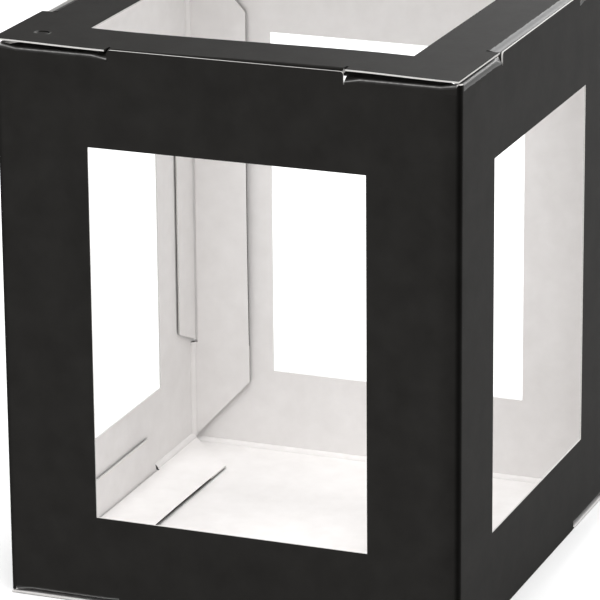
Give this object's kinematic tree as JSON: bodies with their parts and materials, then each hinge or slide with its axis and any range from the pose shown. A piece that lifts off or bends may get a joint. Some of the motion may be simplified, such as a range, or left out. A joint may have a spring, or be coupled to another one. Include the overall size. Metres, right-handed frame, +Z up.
{
  "type": "lantern box",
  "caption": "Upright box folded from black coated board, with a large window in each wall and in the hinged lid, locked by tabs in slotted flaps.",
  "frame": {"origin": "centre of the underside, on the surface that the box stands on", "axes": "+Z up, -Y towards the front wall, +X towards the right wall; the lid and bottom hinge on the back wall at +Y"},
  "size_m": [0.15, 0.15, 0.18],
  "materials": {
    "black_board": "satin",
    "white_board": "matte"
  },
  "bodies": {
    "walls": {"front_wall": "black_board", "right_wall": "black_board", "back_wall": "black_board", "left_wall": "black_board"},
    "lid": {"lid_panel": "black_board"},
    "bottom": {"bottom_panel": "black_board"},
    "lid_front_tab": {"lid_front_tab": "white_board"},
    "lid_right_tab": {"lid_right_tab": "white_board"},
    "lid_left_tab": {"lid_left_tab": "white_board"},
    "bottom_front_tab": {"bottom_front_tab": "white_board"},
    "bottom_right_tab": {"bottom_right_tab": "white_board"},
    "bottom_left_tab": {"bottom_left_tab": "white_board"},
    "front_top_flap": {"front_top_flap": "white_board"},
    "right_top_flap": {"right_top_flap": "white_board"},
    "left_top_flap": {"left_top_flap": "white_board"},
    "front_bottom_flap": {"front_bottom_flap": "white_board"},
    "right_bottom_flap": {"right_bottom_flap": "white_board"},
    "left_bottom_flap": {"left_bottom_flap": "white_board"},
    "left_back_flap": {"left_back_flap": "white_board"},
    "back_left_tab": {"back_left_tab": "white_board"}
  },
  "joints": [
    {"name": "lid_hinge", "type": "hinge", "parent": "walls", "child": "lid", "pos_m": [0, 0.075, 0.18], "axis": [-1, 0, 0], "range_deg": [0, 110]},
    {"name": "bottom_hinge", "type": "hinge", "parent": "walls", "child": "bottom", "pos_m": [0, 0.075, 0], "axis": [1, 0, 0], "range_deg": [0, 110]},
    {"name": "lid_front_tab_crease", "type": "hinge", "parent": "lid", "child": "lid_front_tab", "pos_m": [0, -0.0736, 0.18], "axis": [-1, 0, 0], "range_deg": [-14, 0]},
    {"name": "lid_right_tab_crease", "type": "hinge", "parent": "lid", "child": "lid_right_tab", "pos_m": [0.0736, 0, 0.18], "axis": [0, -1, 0], "range_deg": [-14, 0]},
    {"name": "lid_left_tab_crease", "type": "hinge", "parent": "lid", "child": "lid_left_tab", "pos_m": [-0.0736, 0, 0.18], "axis": [0, 1, 0], "range_deg": [-14, 0]},
    {"name": "bottom_front_tab_crease", "type": "hinge", "parent": "bottom", "child": "bottom_front_tab", "pos_m": [0, -0.0736, 0], "axis": [1, 0, 0], "range_deg": [-14, 0]},
    {"name": "bottom_right_tab_crease", "type": "hinge", "parent": "bottom", "child": "bottom_right_tab", "pos_m": [0.0736, 0, 0], "axis": [0, 1, 0], "range_deg": [-14, 0]},
    {"name": "bottom_left_tab_crease", "type": "hinge", "parent": "bottom", "child": "bottom_left_tab", "pos_m": [-0.0736, 0, 0], "axis": [0, -1, 0], "range_deg": [-14, 0]},
    {"name": "front_top_flap_crease", "type": "hinge", "parent": "walls", "child": "front_top_flap", "pos_m": [0, -0.0745, 0.1777], "axis": [-1, 0, 0], "range_deg": [0, 40]},
    {"name": "right_top_flap_crease", "type": "hinge", "parent": "walls", "child": "right_top_flap", "pos_m": [0.0745, 0, 0.1777], "axis": [0, -1, 0], "range_deg": [0, 40]},
    {"name": "left_top_flap_crease", "type": "hinge", "parent": "walls", "child": "left_top_flap", "pos_m": [-0.0745, 0, 0.1777], "axis": [0, 1, 0], "range_deg": [0, 40]},
    {"name": "front_bottom_flap_crease", "type": "hinge", "parent": "walls", "child": "front_bottom_flap", "pos_m": [0, -0.0745, 0.0023], "axis": [1, 0, 0], "range_deg": [0, 40]},
    {"name": "right_bottom_flap_crease", "type": "hinge", "parent": "walls", "child": "right_bottom_flap", "pos_m": [0.0745, 0, 0.0023], "axis": [0, 1, 0], "range_deg": [0, 40]},
    {"name": "left_bottom_flap_crease", "type": "hinge", "parent": "walls", "child": "left_bottom_flap", "pos_m": [-0.0745, 0, 0.0023], "axis": [0, -1, 0], "range_deg": [0, 40]},
    {"name": "left_back_flap_crease", "type": "hinge", "parent": "walls", "child": "left_back_flap", "pos_m": [-0.0745, 0.0727, 0.09], "axis": [0, 0, -1], "range_deg": [0, 40]},
    {"name": "back_left_tab_crease", "type": "hinge", "parent": "walls", "child": "back_left_tab", "pos_m": [-0.0736, 0.075, 0.09], "axis": [0, 0, -1], "range_deg": [-14, 0]}
  ]
}
